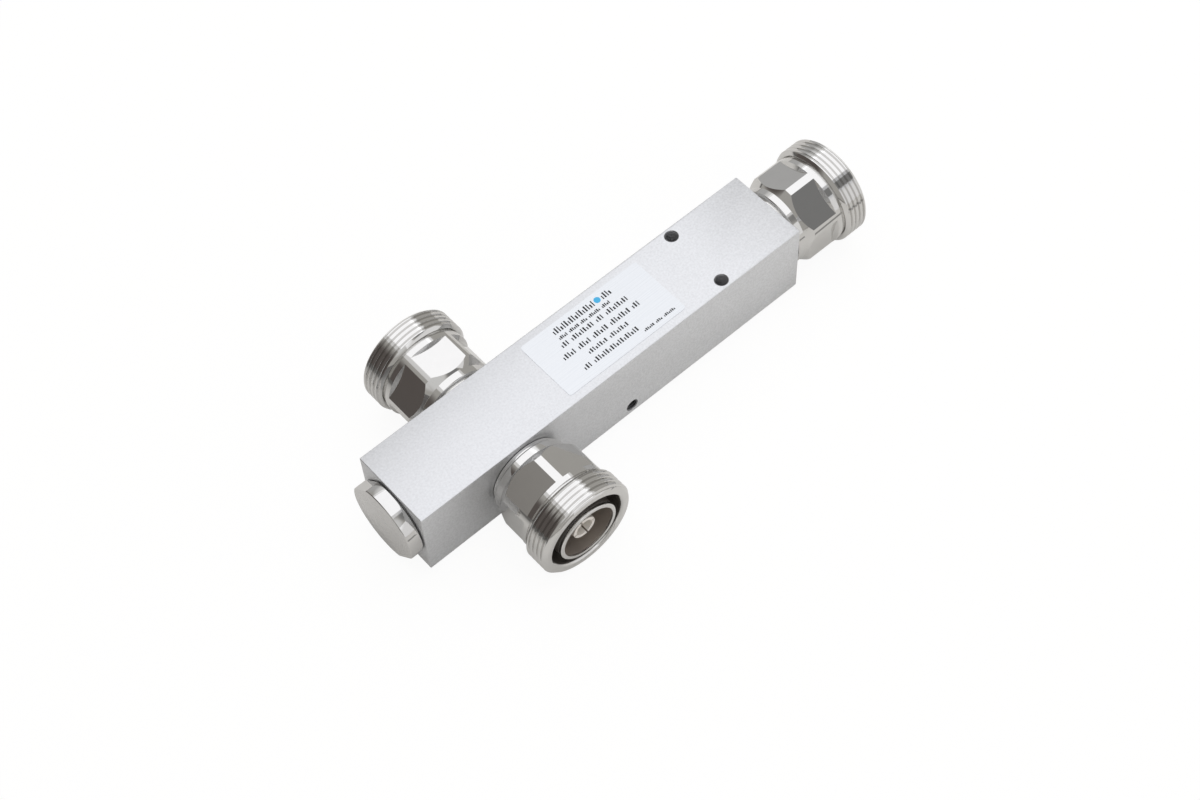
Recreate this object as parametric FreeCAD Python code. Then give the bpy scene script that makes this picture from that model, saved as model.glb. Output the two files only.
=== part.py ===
"""Two-way coaxial power splitter: a square aluminium bar with a round line bore, three 7-16 jacks and an end cap.

Frame, in millimetres: X runs along the bar, from the end cap to the input jack. Z is up.
The origin is under the middle of the whole splitter, at the height it rests on.
The splitter rests on the threads of its three jacks, which are wider than the bar.
"""

import FreeCAD, Part
import math
import os

from FreeCAD import Placement, Rotation, Vector

# Bar
BAR_LENGTH = 129.0
BAR_SIDE = 24.5
BAR_EDGE = 0.25           # small bevel along every edge
LINE_BORE = 16.0          # outer conductor of the coaxial line
JUNCTION_FROM_CAP = 32.4  # axis of the two output jacks, from the bar's end under the cap

# Spigot threads of the cap and the jacks, and their tapped holes
SPIGOT_DIAMETER = 20.0
SHOULDER = 1.5            # of the cap and of each jack's collar, past the spigot all round
SPIGOT_CLEARANCE = 0.05   # all round, in the tapped holes
WALL_CLEARANCE = 0.3      # from an output spigot's end to the line bore
CAP_SPIGOT = 6.0
INPUT_SPIGOT = 6.5
TAPPED_SPARE = 1.0        # tapped depth past a spigot's end

# Tapped holes that a bracket is screwed to
SCREW_HOLE = 4.0
SCREW_DEPTH = 7.0
TOP_HOLES_FROM_CAP = 103.0
TOP_HOLES_OFF_AXIS = 9.6
SIDE_HOLE_FROM_CAP = 68.8
SIDE_HOLE_BELOW_AXIS = 9.0
DRILL_POINT = 59.0        # half angle of the drill's point, in degrees

# End cap
CAP_THICKNESS = 4.2
CAP_FLAT_DEPTH = 1.0      # of each of the two spanner flats
CAP_FLAT_TURN = -42.0     # direction of one flat, seen from the cap's end, from -Y towards +Z
CAP_BACK_BEVEL = 0.45
CAP_FACE_BEVEL = 0.15
SPIGOT_END_BEVEL = 0.3
CAP_RELIEF_DEPTH = 1.0
CAP_RELIEF_LENGTH = 1.6
SEAL_THICKNESS = 1.3      # the O-ring as it is squeezed in the relief

# Jack, along its axis from the bar's face
GASKET_THICKNESS = 0.4    # as it is squeezed between the bar and the neck
NECK_END = 1.4
COLLAR_END = 3.8
CONE_END = 6.0
FLAT_FOOT = 13.6          # where a flat meets the cone behind the ring, at the flat's middle
RING_START = 14.3
RING_END = 15.8
THREAD_START = 16.6
SHELL_END = 24.2
NECK_SHOULDER = 0.5       # of the neck past the spigot all round
HEX_SIDES = 6
FLAT_ABOVE_COLLAR = 0.5   # from the collar's rim up to a milled flat's middle
HEX_ROUND_SHARE = 1.105   # the turned round that the flats are milled on, over the size across flats
RELIEF_STEP = 0.4         # from that round down to the relief behind the thread
THREAD_DIAMETER = 29.0
THREAD_BEVEL = 0.9
COLLAR_BEVEL = 0.45
SHELL_WALL = 2.75         # from the thread's crest to the bore of the shell
GROOVE_DEPTH = 9.6
TUBE_WALL = 1.1
TUBE_PROUD = 0.4          # the tube's rim stands past the shell's face
TUBE_RIM_BEVEL = 0.3

# Inside a jack
BUSH_WALL = 0.8
BEAD_START = 5.0
BEAD_END = 9.0
BEAD_DISH_DEPTH = 0.6
BEAD_HUB = 1.7            # from the contact's waist out to the dish
BEAD_RIM = 1.5            # from the dish out to the bead's rim
GASKET_SET_BACK = 0.1     # from the neck's rim in to the gasket's
CONTACT_DIAMETER = 7.0
CONTACT_WAIST = 5.6
CONTACT_RECESS = 1.3      # from the shell's face back to the socket's tip
CONTACT_BEVEL = 0.2
SOCKET_BORE = 5.0
SOCKET_DEPTH = 9.5
SOCKET_SLOTS = 4
SLOT_WIDTH = 0.6
SLOT_DEPTH = 8.4
SLOT_TURN = 15.0          # degrees from the jack's side to the first slot
STUD_DIAMETER = 4.0
STUD_LENGTH = 6.0
STUD_SPARE = 1.0          # tapped depth past a stud's end

# Inner conductor: a rod of two quarter-wave steps, then a plain line to the input
STEP_LENGTH = 43.0
FIRST_STEP = 9.7
SECOND_STEP = 7.95
PLAIN_LINE = 6.95
ROD_TAIL = 7.0            # past the junction, towards the cap
ROD_BEVEL = 0.3
SEAT_FROM_AXIS = 4.0      # flat seats that the two output stubs stand on
SEAT_DIAMETER = 7.4
STUB_STUD_LENGTH = 3.5

# Label
LABEL_LENGTH = 39.8
LABEL_WIDTH = 19.8
LABEL_THICKNESS = 0.12
LABEL_CORNER = 0.8
LABEL_FROM_CAP = 70.5     # the label's middle
LABEL_OFF_AXIS = 0.1

# Turn of each jack about its own axis, from a corner of the hexagon pointing up
JACK_TURNS = {"input": 6.5, "left": -23.5, "right": 0.0}

# Diameters that follow from the sizes
COLLAR_DIAMETER = SPIGOT_DIAMETER + 2 * SHOULDER
NECK_DIAMETER = SPIGOT_DIAMETER + 2 * NECK_SHOULDER
GASKET_DIAMETER = NECK_DIAMETER - 2 * GASKET_SET_BACK
CAP_RELIEF_DIAMETER = SPIGOT_DIAMETER - 2 * CAP_RELIEF_DEPTH
HEX_FLATS = COLLAR_DIAMETER + 2 * FLAT_ABOVE_COLLAR
HEX_ROUND = HEX_FLATS * HEX_ROUND_SHARE
RELIEF_DIAMETER = HEX_ROUND - 2 * RELIEF_STEP
SHELL_BORE = THREAD_DIAMETER - 2 * SHELL_WALL
TUBE_OUTSIDE = LINE_BORE + 2 * TUBE_WALL
BEAD_DIAMETER = LINE_BORE + 2 * BUSH_WALL

# Places that follow from the sizes
JACK_REACH = SHELL_END + TUBE_PROUD
CAP_END_X = -(CAP_THICKNESS + BAR_LENGTH + JACK_REACH) / 2
BAR_START_X = CAP_END_X + CAP_THICKNESS
BAR_END_X = BAR_START_X + BAR_LENGTH
AXIS_Z = max(THREAD_DIAMETER, HEX_ROUND) / 2
JUNCTION_X = BAR_START_X + JUNCTION_FROM_CAP
BAR_TOP_Z = AXIS_Z + BAR_SIDE / 2
OUTPUT_SPIGOT = BAR_SIDE / 2 - LINE_BORE / 2 - WALL_CLEARANCE
AXIS_X = Vector(1, 0, 0)
AXIS_Y = Vector(0, 1, 0)
UP = Vector(0, 0, 1)


def turned(points):
    """A solid turned about the X axis from (place along X, radius) points."""
    outline = Part.makePolygon([Vector(x, 0, r) for x, r in points + points[:1]])
    return Part.Face(outline).revolve(Vector(0, 0, 0), AXIS_X, 360)


def ring(start, end, inside, outside):
    """A plain turned ring between two places along X; inside and outside are diameters."""
    return turned([(start, inside / 2), (end, inside / 2), (end, outside / 2), (start, outside / 2)])


def cylinder(diameter, start, direction, length):
    return Part.makeCylinder(diameter / 2, length, start, direction)


def drilled(diameter, mouth, direction, depth):
    """A blind drilled hole: a full-diameter length and the drill's pointed end."""
    point = diameter / 2 / math.tan(math.radians(DRILL_POINT))
    straight = cylinder(diameter, mouth, direction, depth)
    tip = Part.makeCone(diameter / 2, 0, point, mouth + direction * depth, direction)
    return straight.fuse(tip)


def jack_place(name):
    """Placement that takes a jack from its own frame, axis +X from the bar's face, to the bar."""
    turn = Rotation(AXIS_X, JACK_TURNS[name])
    if name == "input":
        return Placement(Vector(BAR_END_X, 0, AXIS_Z), turn)
    side = 1 if name == "left" else -1
    seat = Vector(JUNCTION_X, side * BAR_SIDE / 2, AXIS_Z)
    return Placement(seat, Rotation(UP, side * 90).multiply(turn))


def placed(shape, placement):
    moved = shape.copy()
    moved.Placement = placement.multiply(moved.Placement)
    return moved


def make_bar():
    """The square bar with its line bore, tapped ports and tapped screw holes."""
    low = Vector(BAR_START_X, -BAR_SIDE / 2, AXIS_Z - BAR_SIDE / 2)
    bar = Part.makeBox(BAR_LENGTH, BAR_SIDE, BAR_SIDE, low)
    bar = bar.makeChamfer(BAR_EDGE, bar.Edges)
    tapped = SPIGOT_DIAMETER + 2 * SPIGOT_CLEARANCE
    cap_mouth = Vector(BAR_START_X, 0, AXIS_Z)
    input_mouth = Vector(BAR_END_X, 0, AXIS_Z)
    cuts = [
        cylinder(LINE_BORE, cap_mouth, AXIS_X, BAR_LENGTH),
        cylinder(tapped, cap_mouth, AXIS_X, CAP_SPIGOT + TAPPED_SPARE),
        cylinder(tapped, input_mouth, -AXIS_X, INPUT_SPIGOT + TAPPED_SPARE),
    ]
    for side in (1, -1):
        port = Vector(JUNCTION_X, side * BAR_SIDE / 2, AXIS_Z)
        cuts.append(cylinder(tapped, port, AXIS_Y * -side, BAR_SIDE / 2))
        mouth = Vector(BAR_START_X + TOP_HOLES_FROM_CAP, side * TOP_HOLES_OFF_AXIS, BAR_TOP_Z)
        cuts.append(drilled(SCREW_HOLE, mouth, -UP, SCREW_DEPTH))
    side_mouth = Vector(BAR_START_X + SIDE_HOLE_FROM_CAP, -BAR_SIDE / 2, AXIS_Z - SIDE_HOLE_BELOW_AXIS)
    cuts.append(drilled(SCREW_HOLE, side_mouth, AXIS_Y, SCREW_DEPTH))
    return bar.cut(cuts)


def make_end_cap():
    """The screw-in cap: a disc with two flats, and a spigot with a relief for its O-ring."""
    face = -CAP_THICKNESS
    rim = SPIGOT_DIAMETER / 2 + SHOULDER
    spigot = SPIGOT_DIAMETER / 2
    relief = CAP_RELIEF_DIAMETER / 2
    cap = turned([
        (face, 0),
        (face, rim - CAP_FACE_BEVEL),
        (face + CAP_FACE_BEVEL, rim),
        (-CAP_BACK_BEVEL, rim),
        (0, rim - CAP_BACK_BEVEL),
        (0, relief),
        (CAP_RELIEF_LENGTH, relief),
        (CAP_RELIEF_LENGTH, spigot),
        (CAP_SPIGOT - SPIGOT_END_BEVEL, spigot),
        (CAP_SPIGOT, spigot - SPIGOT_END_BEVEL),
        (CAP_SPIGOT, 0),
    ])
    for turn in (0, 180):
        flat = Part.makeBox(CAP_THICKNESS, CAP_FLAT_DEPTH, 2 * rim, Vector(face, rim - CAP_FLAT_DEPTH, -rim))
        flat.rotate(Vector(0, 0, 0), AXIS_X, 180 - CAP_FLAT_TURN + turn)
        cap = cap.cut(flat)
    return placed(cap, Placement(Vector(BAR_START_X, 0, AXIS_Z), Rotation()))


def make_cap_seal():
    seal = ring(0, SEAL_THICKNESS, CAP_RELIEF_DIAMETER, SPIGOT_DIAMETER)
    return placed(seal, Placement(Vector(BAR_START_X, 0, AXIS_Z), Rotation()))


def make_flats_cutter():
    """What the milling cutter takes off the turned round, up to the cone behind the ring."""
    slope = (RING_START - FLAT_FOOT) / ((HEX_ROUND - HEX_FLATS) / 2)
    inner = COLLAR_DIAMETER / 2
    outer = THREAD_DIAMETER / 2
    zone = turned([
        (COLLAR_END, inner),
        (FLAT_FOOT + slope * (inner - HEX_FLATS / 2), inner),
        (FLAT_FOOT + slope * (outer - HEX_FLATS / 2), outer),
        (COLLAR_END, outer),
    ])
    corner = HEX_FLATS / 2 / math.cos(math.pi / HEX_SIDES)
    turns = [2 * math.pi * step / HEX_SIDES for step in range(HEX_SIDES + 1)]
    hexagon = Part.makePolygon([Vector(0, corner * math.sin(a), corner * math.cos(a)) for a in turns])
    return zone.cut(Part.Face(hexagon).extrude(AXIS_X * SHELL_END))


def make_shell(spigot_length):
    """The plated jack body: spigot, neck, collar, milled flats, ring, thread, and the outer conductor's tube."""
    thread = THREAD_DIAMETER / 2
    collar = COLLAR_DIAMETER / 2
    tube_rim = SHELL_END + TUBE_PROUD
    groove_floor = SHELL_END - GROOVE_DEPTH
    shell = turned([
        (-spigot_length, BEAD_DIAMETER / 2),
        (-spigot_length, SPIGOT_DIAMETER / 2),
        (GASKET_THICKNESS, SPIGOT_DIAMETER / 2),
        (GASKET_THICKNESS, NECK_DIAMETER / 2),
        (NECK_END, NECK_DIAMETER / 2),
        (NECK_END, collar - COLLAR_BEVEL),
        (NECK_END + COLLAR_BEVEL, collar),
        (COLLAR_END, collar),
        (CONE_END, HEX_ROUND / 2),
        (RING_END, HEX_ROUND / 2),
        (RING_END, RELIEF_DIAMETER / 2),
        (THREAD_START, RELIEF_DIAMETER / 2),
        (THREAD_START, thread - THREAD_BEVEL),
        (THREAD_START + THREAD_BEVEL, thread),
        (SHELL_END - THREAD_BEVEL, thread),
        (SHELL_END, thread - THREAD_BEVEL),
        (SHELL_END, SHELL_BORE / 2),
        (groove_floor, SHELL_BORE / 2),
        (groove_floor, TUBE_OUTSIDE / 2),
        (tube_rim - TUBE_RIM_BEVEL, TUBE_OUTSIDE / 2),
        (tube_rim, TUBE_OUTSIDE / 2 - TUBE_RIM_BEVEL),
        (tube_rim, LINE_BORE / 2),
        (BEAD_END, LINE_BORE / 2),
        (BEAD_END, BEAD_DIAMETER / 2),
    ])
    return shell.cut(make_flats_cutter())


def make_gasket():
    """The thin rubber ring squeezed between the bar and the jack's neck, round the spigot."""
    return ring(0, GASKET_THICKNESS, SPIGOT_DIAMETER, GASKET_DIAMETER)


def make_bead():
    """The insulating bead that holds the contact, dished on both faces."""
    waist = CONTACT_WAIST / 2
    rim = BEAD_DIAMETER / 2
    dish = (waist + BEAD_HUB, rim - BEAD_RIM)
    back = BEAD_START + BEAD_DISH_DEPTH
    front = BEAD_END - BEAD_DISH_DEPTH
    return turned([
        (BEAD_START, waist), (BEAD_END, waist), (BEAD_END, dish[0]), (front, dish[0]),
        (front, dish[1]), (BEAD_END, dish[1]), (BEAD_END, rim), (BEAD_START, rim),
        (BEAD_START, dish[1]), (back, dish[1]), (back, dish[0]), (BEAD_START, dish[0]),
    ])


def make_bush(spigot_length):
    """The pressed-in bush behind the bead, which carries the line bore on through the spigot."""
    return ring(-spigot_length, BEAD_START, LINE_BORE, BEAD_DIAMETER)


def make_contact():
    """The slotted socket, its waist through the bead, and the threaded stud behind."""
    tip = SHELL_END - CONTACT_RECESS
    outside = CONTACT_DIAMETER / 2
    bore = SOCKET_BORE / 2
    contact = turned([
        (BEAD_START - STUD_LENGTH, 0),
        (BEAD_START - STUD_LENGTH, STUD_DIAMETER / 2),
        (BEAD_START, STUD_DIAMETER / 2),
        (BEAD_START, CONTACT_WAIST / 2),
        (BEAD_END, CONTACT_WAIST / 2),
        (BEAD_END, outside),
        (tip - CONTACT_BEVEL, outside),
        (tip, outside - CONTACT_BEVEL),
        (tip, bore + CONTACT_BEVEL),
        (tip - CONTACT_BEVEL, bore),
        (tip - SOCKET_DEPTH, bore),
        (tip - SOCKET_DEPTH, 0),
    ])
    slots = []
    for step in range(SOCKET_SLOTS):
        slot = Part.makeBox(SLOT_DEPTH, outside + SLOT_WIDTH, SLOT_WIDTH, Vector(tip - SLOT_DEPTH, 0, -SLOT_WIDTH / 2))
        slot.rotate(Vector(0, 0, 0), AXIS_X, SLOT_TURN + step * 360 / SOCKET_SLOTS)
        slots.append(slot)
    return contact.cut(slots)


def make_stub():
    """An output's inner conductor, from its seat on the rod to the bead, with a stud into the rod."""
    seat = SEAT_FROM_AXIS - BAR_SIDE / 2
    line = PLAIN_LINE / 2
    stud = STUD_DIAMETER / 2
    tapped = BEAD_START - STUD_LENGTH - STUD_SPARE
    return turned([
        (seat - STUB_STUD_LENGTH, 0),
        (seat - STUB_STUD_LENGTH, stud),
        (seat, stud),
        (seat, line),
        (BEAD_START, line),
        (BEAD_START, stud),
        (tapped, stud),
        (tapped, 0),
    ])


def make_rod():
    """The stepped inner conductor, turned from one bar, with the output seats at the junction."""
    first = FIRST_STEP / 2
    second = SECOND_STEP / 2
    line = PLAIN_LINE / 2
    stud = STUD_DIAMETER / 2
    end_of_first = JUNCTION_X + STEP_LENGTH
    end_of_second = end_of_first + STEP_LENGTH
    end = BAR_END_X + BEAD_START
    tapped = end - STUD_LENGTH - STUD_SPARE
    tail = JUNCTION_X - ROD_TAIL
    rod = turned([
        (tail, 0), (tail, first - ROD_BEVEL), (tail + ROD_BEVEL, first),
        (end_of_first - ROD_BEVEL, first), (end_of_first, first - ROD_BEVEL),
        (end_of_first, second),
        (end_of_second - ROD_BEVEL, second), (end_of_second, second - ROD_BEVEL),
        (end_of_second, line),
        (end, line), (end, stud), (tapped, stud), (tapped, 0),
    ])
    cuts = [cylinder(STUD_DIAMETER, Vector(JUNCTION_X, -FIRST_STEP / 2, 0), AXIS_Y, FIRST_STEP)]
    for side in (1, -1):
        seat = Vector(JUNCTION_X, side * SEAT_FROM_AXIS, 0)
        cuts.append(cylinder(SEAT_DIAMETER, seat, AXIS_Y * side, FIRST_STEP))
    return placed(rod.cut(cuts), Placement(Vector(0, 0, AXIS_Z), Rotation()))


def make_label():
    """The thin foil label on top of the bar, with rounded corners."""
    low = Vector(
        BAR_START_X + LABEL_FROM_CAP - LABEL_LENGTH / 2,
        LABEL_OFF_AXIS - LABEL_WIDTH / 2,
        BAR_TOP_Z,
    )
    label = Part.makeBox(LABEL_LENGTH, LABEL_WIDTH, LABEL_THICKNESS, low)
    upright = [edge for edge in label.Edges if abs(edge.tangentAt(edge.FirstParameter).z) > 0.5]
    return label.makeFillet(LABEL_CORNER, upright)


def make_parts():
    parts = {
        "bar": make_bar(),
        "end_cap": make_end_cap(),
        "cap_seal": make_cap_seal(),
        "transformer_rod": make_rod(),
        "label": make_label(),
    }
    for name in JACK_TURNS:
        place = jack_place(name)
        spigot = INPUT_SPIGOT if name == "input" else OUTPUT_SPIGOT
        parts[name + "_shell"] = placed(make_shell(spigot), place)
        parts[name + "_gasket"] = placed(make_gasket(), place)
        parts[name + "_bead"] = placed(make_bead(), place)
        parts[name + "_bush"] = placed(make_bush(spigot), place)
        parts[name + "_contact"] = placed(make_contact(), place)
        if name != "input":
            parts[name + "_stub"] = placed(make_stub(), place)
    return parts


def main():
    os.makedirs("parts", exist_ok=True)
    for name, shape in make_parts().items():
        solid = shape.Solids[0] if len(shape.Solids) == 1 else shape
        solid.exportStep("parts/" + name + ".step")
        print(name, "solids", len(shape.Solids), "valid", shape.isValid(), "volume", round(shape.Volume, 2))


main()
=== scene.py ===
# %% [markdown]
# A coaxial power splitter: one radio signal goes in at the long end of a square aluminium bar and comes out
# at two jacks near the other end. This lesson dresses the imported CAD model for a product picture. The pieces
# that show get a smoother or finer twin, in the place and at the size that the CAD gives them, made with the
# tools a person would use by hand. The rest keep their CAD shape and get a finish.

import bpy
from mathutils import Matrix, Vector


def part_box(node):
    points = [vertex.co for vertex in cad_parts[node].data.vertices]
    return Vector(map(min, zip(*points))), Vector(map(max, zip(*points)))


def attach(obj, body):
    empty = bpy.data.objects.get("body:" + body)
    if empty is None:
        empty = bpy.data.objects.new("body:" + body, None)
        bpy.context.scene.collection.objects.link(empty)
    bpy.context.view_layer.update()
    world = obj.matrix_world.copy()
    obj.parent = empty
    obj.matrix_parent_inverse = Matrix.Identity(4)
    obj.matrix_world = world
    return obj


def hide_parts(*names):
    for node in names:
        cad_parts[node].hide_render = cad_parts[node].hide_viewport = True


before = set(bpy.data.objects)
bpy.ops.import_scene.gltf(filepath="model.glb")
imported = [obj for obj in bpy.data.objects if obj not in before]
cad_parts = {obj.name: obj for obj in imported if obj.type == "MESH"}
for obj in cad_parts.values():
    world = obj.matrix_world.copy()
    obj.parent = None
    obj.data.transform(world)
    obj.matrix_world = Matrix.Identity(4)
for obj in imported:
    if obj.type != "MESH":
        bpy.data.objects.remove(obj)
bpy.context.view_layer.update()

# %% [markdown]
# The workshop drawings are in millimetres and Blender works in metres. Each piece is therefore made in
# millimetres about its own axis, where the numbers are easy to read, and only set down in metres when it
# is finished. Small helpers keep the operators honest: they clear the selection and enter edit mode.

# %% Helpers for the workshop
import math

import bpy
from mathutils import Vector

MM = 0.001
SIDES = 128  # flats that stand for a turned round
SAME_PLACE = 0.0005  # corners that are nearer than this many millimetres are one corner
RIGHT_ANGLE = math.pi / 2


def clear_selection():
    """Leaves edit mode and selects nothing, so that an operator acts only on what comes next."""
    if bpy.context.object and bpy.context.object.mode != "OBJECT":
        bpy.ops.object.mode_set(mode="OBJECT")
    bpy.ops.object.select_all(action="DESELECT")


def make_active(piece):
    clear_selection()
    piece.select_set(True)
    bpy.context.view_layer.objects.active = piece


def edit(piece, what="VERT"):
    make_active(piece)
    bpy.ops.object.mode_set(mode="EDIT")
    bpy.ops.mesh.select_mode(type=what)


def pick_faces(piece, wanted):
    """Edit mode with only the faces selected whose centre passes the test."""
    make_active(piece)
    for group in (piece.data.vertices, piece.data.edges, piece.data.polygons):
        group.foreach_set("select", [False] * len(group))
    for face in piece.data.polygons:
        face.select = wanted(face.center)
    bpy.ops.object.mode_set(mode="EDIT")
    bpy.ops.mesh.select_mode(type="FACE")


def merge_doubles():
    """In edit mode: makes one corner of those that share a place."""
    bpy.ops.mesh.select_all(action="SELECT")
    bpy.ops.mesh.remove_doubles(threshold=SAME_PLACE)


def tidy_surface(piece, sharp_from=20):
    """Merges doubles, points the normals outwards and smooths all but the sharp corners."""
    edit(piece)
    merge_doubles()
    bpy.ops.mesh.normals_make_consistent(inside=False)
    bpy.ops.object.mode_set(mode="OBJECT")
    bpy.ops.object.shade_smooth_by_angle(angle=math.radians(sharp_from))


print("turned rounds have", SIDES, "sides")

# %% [markdown]
# Almost everything here comes off a lathe. The lathe helper draws half of a section as a wire, rounds its
# corners a little, as a tool's nose does, and spins the wire about the X axis. Points are (place along the
# axis, radius). Rounding the wire costs one operator, and every edge of the finished piece then catches
# a thin line of light.

# %% The lathe
def wire(name, points):
    """A new object in edit mode, with a mesh that is one wire through the points."""
    clear_selection()
    bpy.ops.mesh.primitive_plane_add(size=1)
    piece = bpy.context.object
    piece.name = piece.data.name = name
    edit(piece)
    bpy.ops.mesh.select_all(action="SELECT")
    bpy.ops.mesh.merge(type="CENTER")
    bpy.ops.transform.translate(value=(points[0][0], 0, points[0][1]))
    for (x, r), (next_x, next_r) in zip(points, points[1:]):
        bpy.ops.mesh.extrude_region_move(TRANSFORM_OT_translate={"value": (next_x - x, 0, next_r - r)})
    merge_doubles()
    return piece


def turned(name, outline, rounding=0.0, sides=SIDES):
    """A turned solid. Its outline starts and ends on the axis, or else it is a ring's whole section."""
    piece = wire(name, outline if outline[0][1] == 0 else outline + outline[:1])
    if rounding:
        bpy.ops.object.mode_set(mode="OBJECT")
        for vertex in piece.data.vertices:
            vertex.select = vertex.co.z > 0.001
        bpy.ops.object.mode_set(mode="EDIT")
        bpy.ops.mesh.bevel(offset=rounding, segments=2, affect="VERTICES", clamp_overlap=True)
    bpy.ops.mesh.select_all(action="SELECT")
    bpy.ops.mesh.spin(steps=sides, angle=2 * math.pi, center=(0, 0, 0), axis=(1, 0, 0))
    tidy_surface(piece)
    return piece


def cylinder(name, start, end, radius, sides=SIDES):
    return turned(name, [(start, 0), (start, radius), (end, radius), (end, 0)], sides=sides)


# %% [markdown]
# Milled flats, slots, drilled holes and threads are taken out of the turned blank, exactly as in a
# machine shop: a cutter is made, a Boolean modifier subtracts it, and the cutter is thrown away.

# %% Milling and boxes
def machine(piece, cutter):
    make_active(piece)
    cut = piece.modifiers.new("cut", "BOOLEAN")
    cut.operation = "DIFFERENCE"
    cut.solver = "EXACT"
    cut.object = cutter
    bpy.ops.object.modifier_apply(modifier=cut.name)
    bpy.data.objects.remove(cutter)


def aim(cutter, turn, place):
    """Turns a cutter that was made along X, puts it in its place and writes both into its mesh."""
    make_active(cutter)
    cutter.rotation_euler = turn
    cutter.location = place
    bpy.ops.object.transform_apply(location=True, rotation=True)
    return cutter


def block(name, middle, size, turn_about_x=0.0):
    """A box about a place; a turn about X moves the place round the axis too."""
    clear_selection()
    x, y, z = middle
    c, s = math.cos(turn_about_x), math.sin(turn_about_x)
    bpy.ops.mesh.primitive_cube_add(
        size=1, location=(x, y * c - z * s, y * s + z * c), rotation=(turn_about_x, 0, 0), scale=size
    )
    piece = bpy.context.object
    piece.name = piece.data.name = name
    bpy.ops.object.transform_apply(location=True, rotation=True, scale=True)
    return piece


# %% [markdown]
# A screw thread is a groove that climbs one pitch per turn. The Screw modifier sweeps the groove's section
# along that path. The swept cutter runs past both ends of the thread, so the chamfers and the relief behind
# the thread stop the groove in the same places as on the real jack.

# %% The thread cutter
def thread_cutter(name, section, pitch, turns, start_angle, steps):
    """Sweeps a four-point section of (place along the axis, radius) along a right-hand helix about X."""
    piece = wire(name, section + section[:1])
    bpy.ops.object.mode_set(mode="OBJECT")
    sweep = piece.modifiers.new("sweep", "SCREW")
    sweep.axis = "X"
    sweep.angle = 2 * math.pi
    sweep.screw_offset = pitch
    sweep.iterations = turns
    sweep.steps = sweep.render_steps = steps
    bpy.ops.object.modifier_apply(modifier=sweep.name)
    edit(piece)
    merge_doubles()
    bpy.ops.mesh.fill_holes(sides=4)
    bpy.ops.mesh.select_all(action="SELECT")
    bpy.ops.mesh.normals_make_consistent(inside=False)
    bpy.ops.object.mode_set(mode="OBJECT")
    return aim(piece, (start_angle, 0, 0), (0, 0, 0))


# %% [markdown]
# Setting down turns millimetres into metres and writes the place into the mesh, so the finished object sits
# at the origin, unturned and unscaled. Before that, each corner's place in the piece's own frame is kept in
# an attribute called made_at. Lathe marks follow the piece's own axis, so the finish reads that attribute
# and looks right whichever way the jack points.

# %% Setting pieces down
def set_down(piece, place=(0, 0, 0), turn=(0, 0, 0), replaces=None, finish=None):
    """Puts a finished piece in its place, in metres, and hides the CAD node that it stands for."""
    made_at = piece.data.attributes.new("made_at", "FLOAT_VECTOR", "POINT")
    made_at.data.foreach_set("vector", [c for vertex in piece.data.vertices for c in vertex.co])
    make_active(piece)
    piece.scale = (MM, MM, MM)
    piece.rotation_euler = turn
    piece.location = [c * MM for c in place]
    bpy.ops.object.transform_apply(location=True, rotation=True, scale=True)
    if finish:
        piece.data.materials.clear()
        piece.data.materials.append(finish)
    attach(piece, "root")
    if replaces:
        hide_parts(replaces)
    size = [round(1000 * d, 2) for d in piece.dimensions]
    print(piece.name, "faces", len(piece.data.polygons), "size in millimetres", size)


def twin(piece, name):
    """A copy with its own mesh."""
    make_active(piece)
    bpy.ops.object.duplicate(linked=False)
    copy = bpy.context.object
    copy.name = copy.data.name = name
    return copy


# %% [markdown]
# Finishes are node trees. One function turns the hex colours that people write down into the linear numbers
# that shaders work in, and one function adds a node with its settings and links.

# %% Colour and nodes
def linear(hex_colour):
    parts = [int(hex_colour[i:i + 2], 16) / 255 for i in (1, 3, 5)]
    return tuple(c / 12.92 if c <= 0.04045 else ((c + 0.055) / 1.055) ** 2.4 for c in parts) + (1.0,)


def add(tree, kind, sockets=None, **settings):
    """A node. Settings are its own; each socket gets a number, a colour, or another node's output."""
    node = tree.nodes.new(kind)
    for name, value in settings.items():
        setattr(node, name, value)
    for name, value in (sockets or {}).items():
        if isinstance(value, bpy.types.NodeSocket):
            tree.links.new(value, node.inputs[name])
        else:
            node.inputs[name].default_value = value
    return node


def new_finish(name):
    """A material with an empty tree, and the tree."""
    finish = bpy.data.materials.new(name)
    finish.use_nodes = True
    finish.node_tree.nodes.clear()
    return finish, finish.node_tree


NOISE_LOW, NOISE_HIGH = 0.3, 0.7  # nearly all of a noise texture lies between these
print("black ink in linear numbers:", [round(c, 4) for c in linear("#17181A")[:3]])

# %% [markdown]
# The bar is aluminium that was blasted with fine glass beads and then clear anodised. Blasting leaves dents
# about 0.15 mm wide, which spread the light and give an even satin look with a faint sparkle. Anodising
# adds a thin greyish oxide. The dents are drawn 0.55 mm wide, with finer ones inside, because the real ones
# are smaller than a pixel of the picture. The tone drifts slowly, over 30 mm, and painted light makes the
# bar a little darker at the cap end and paler towards the input end, where the lamps light it less.

# %% Blasted and clear anodised aluminium
DENT = 0.55 * MM
PAINTED_LIGHT_FROM, PAINTED_LIGHT_TO = -20 * MM, 50 * MM


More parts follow.
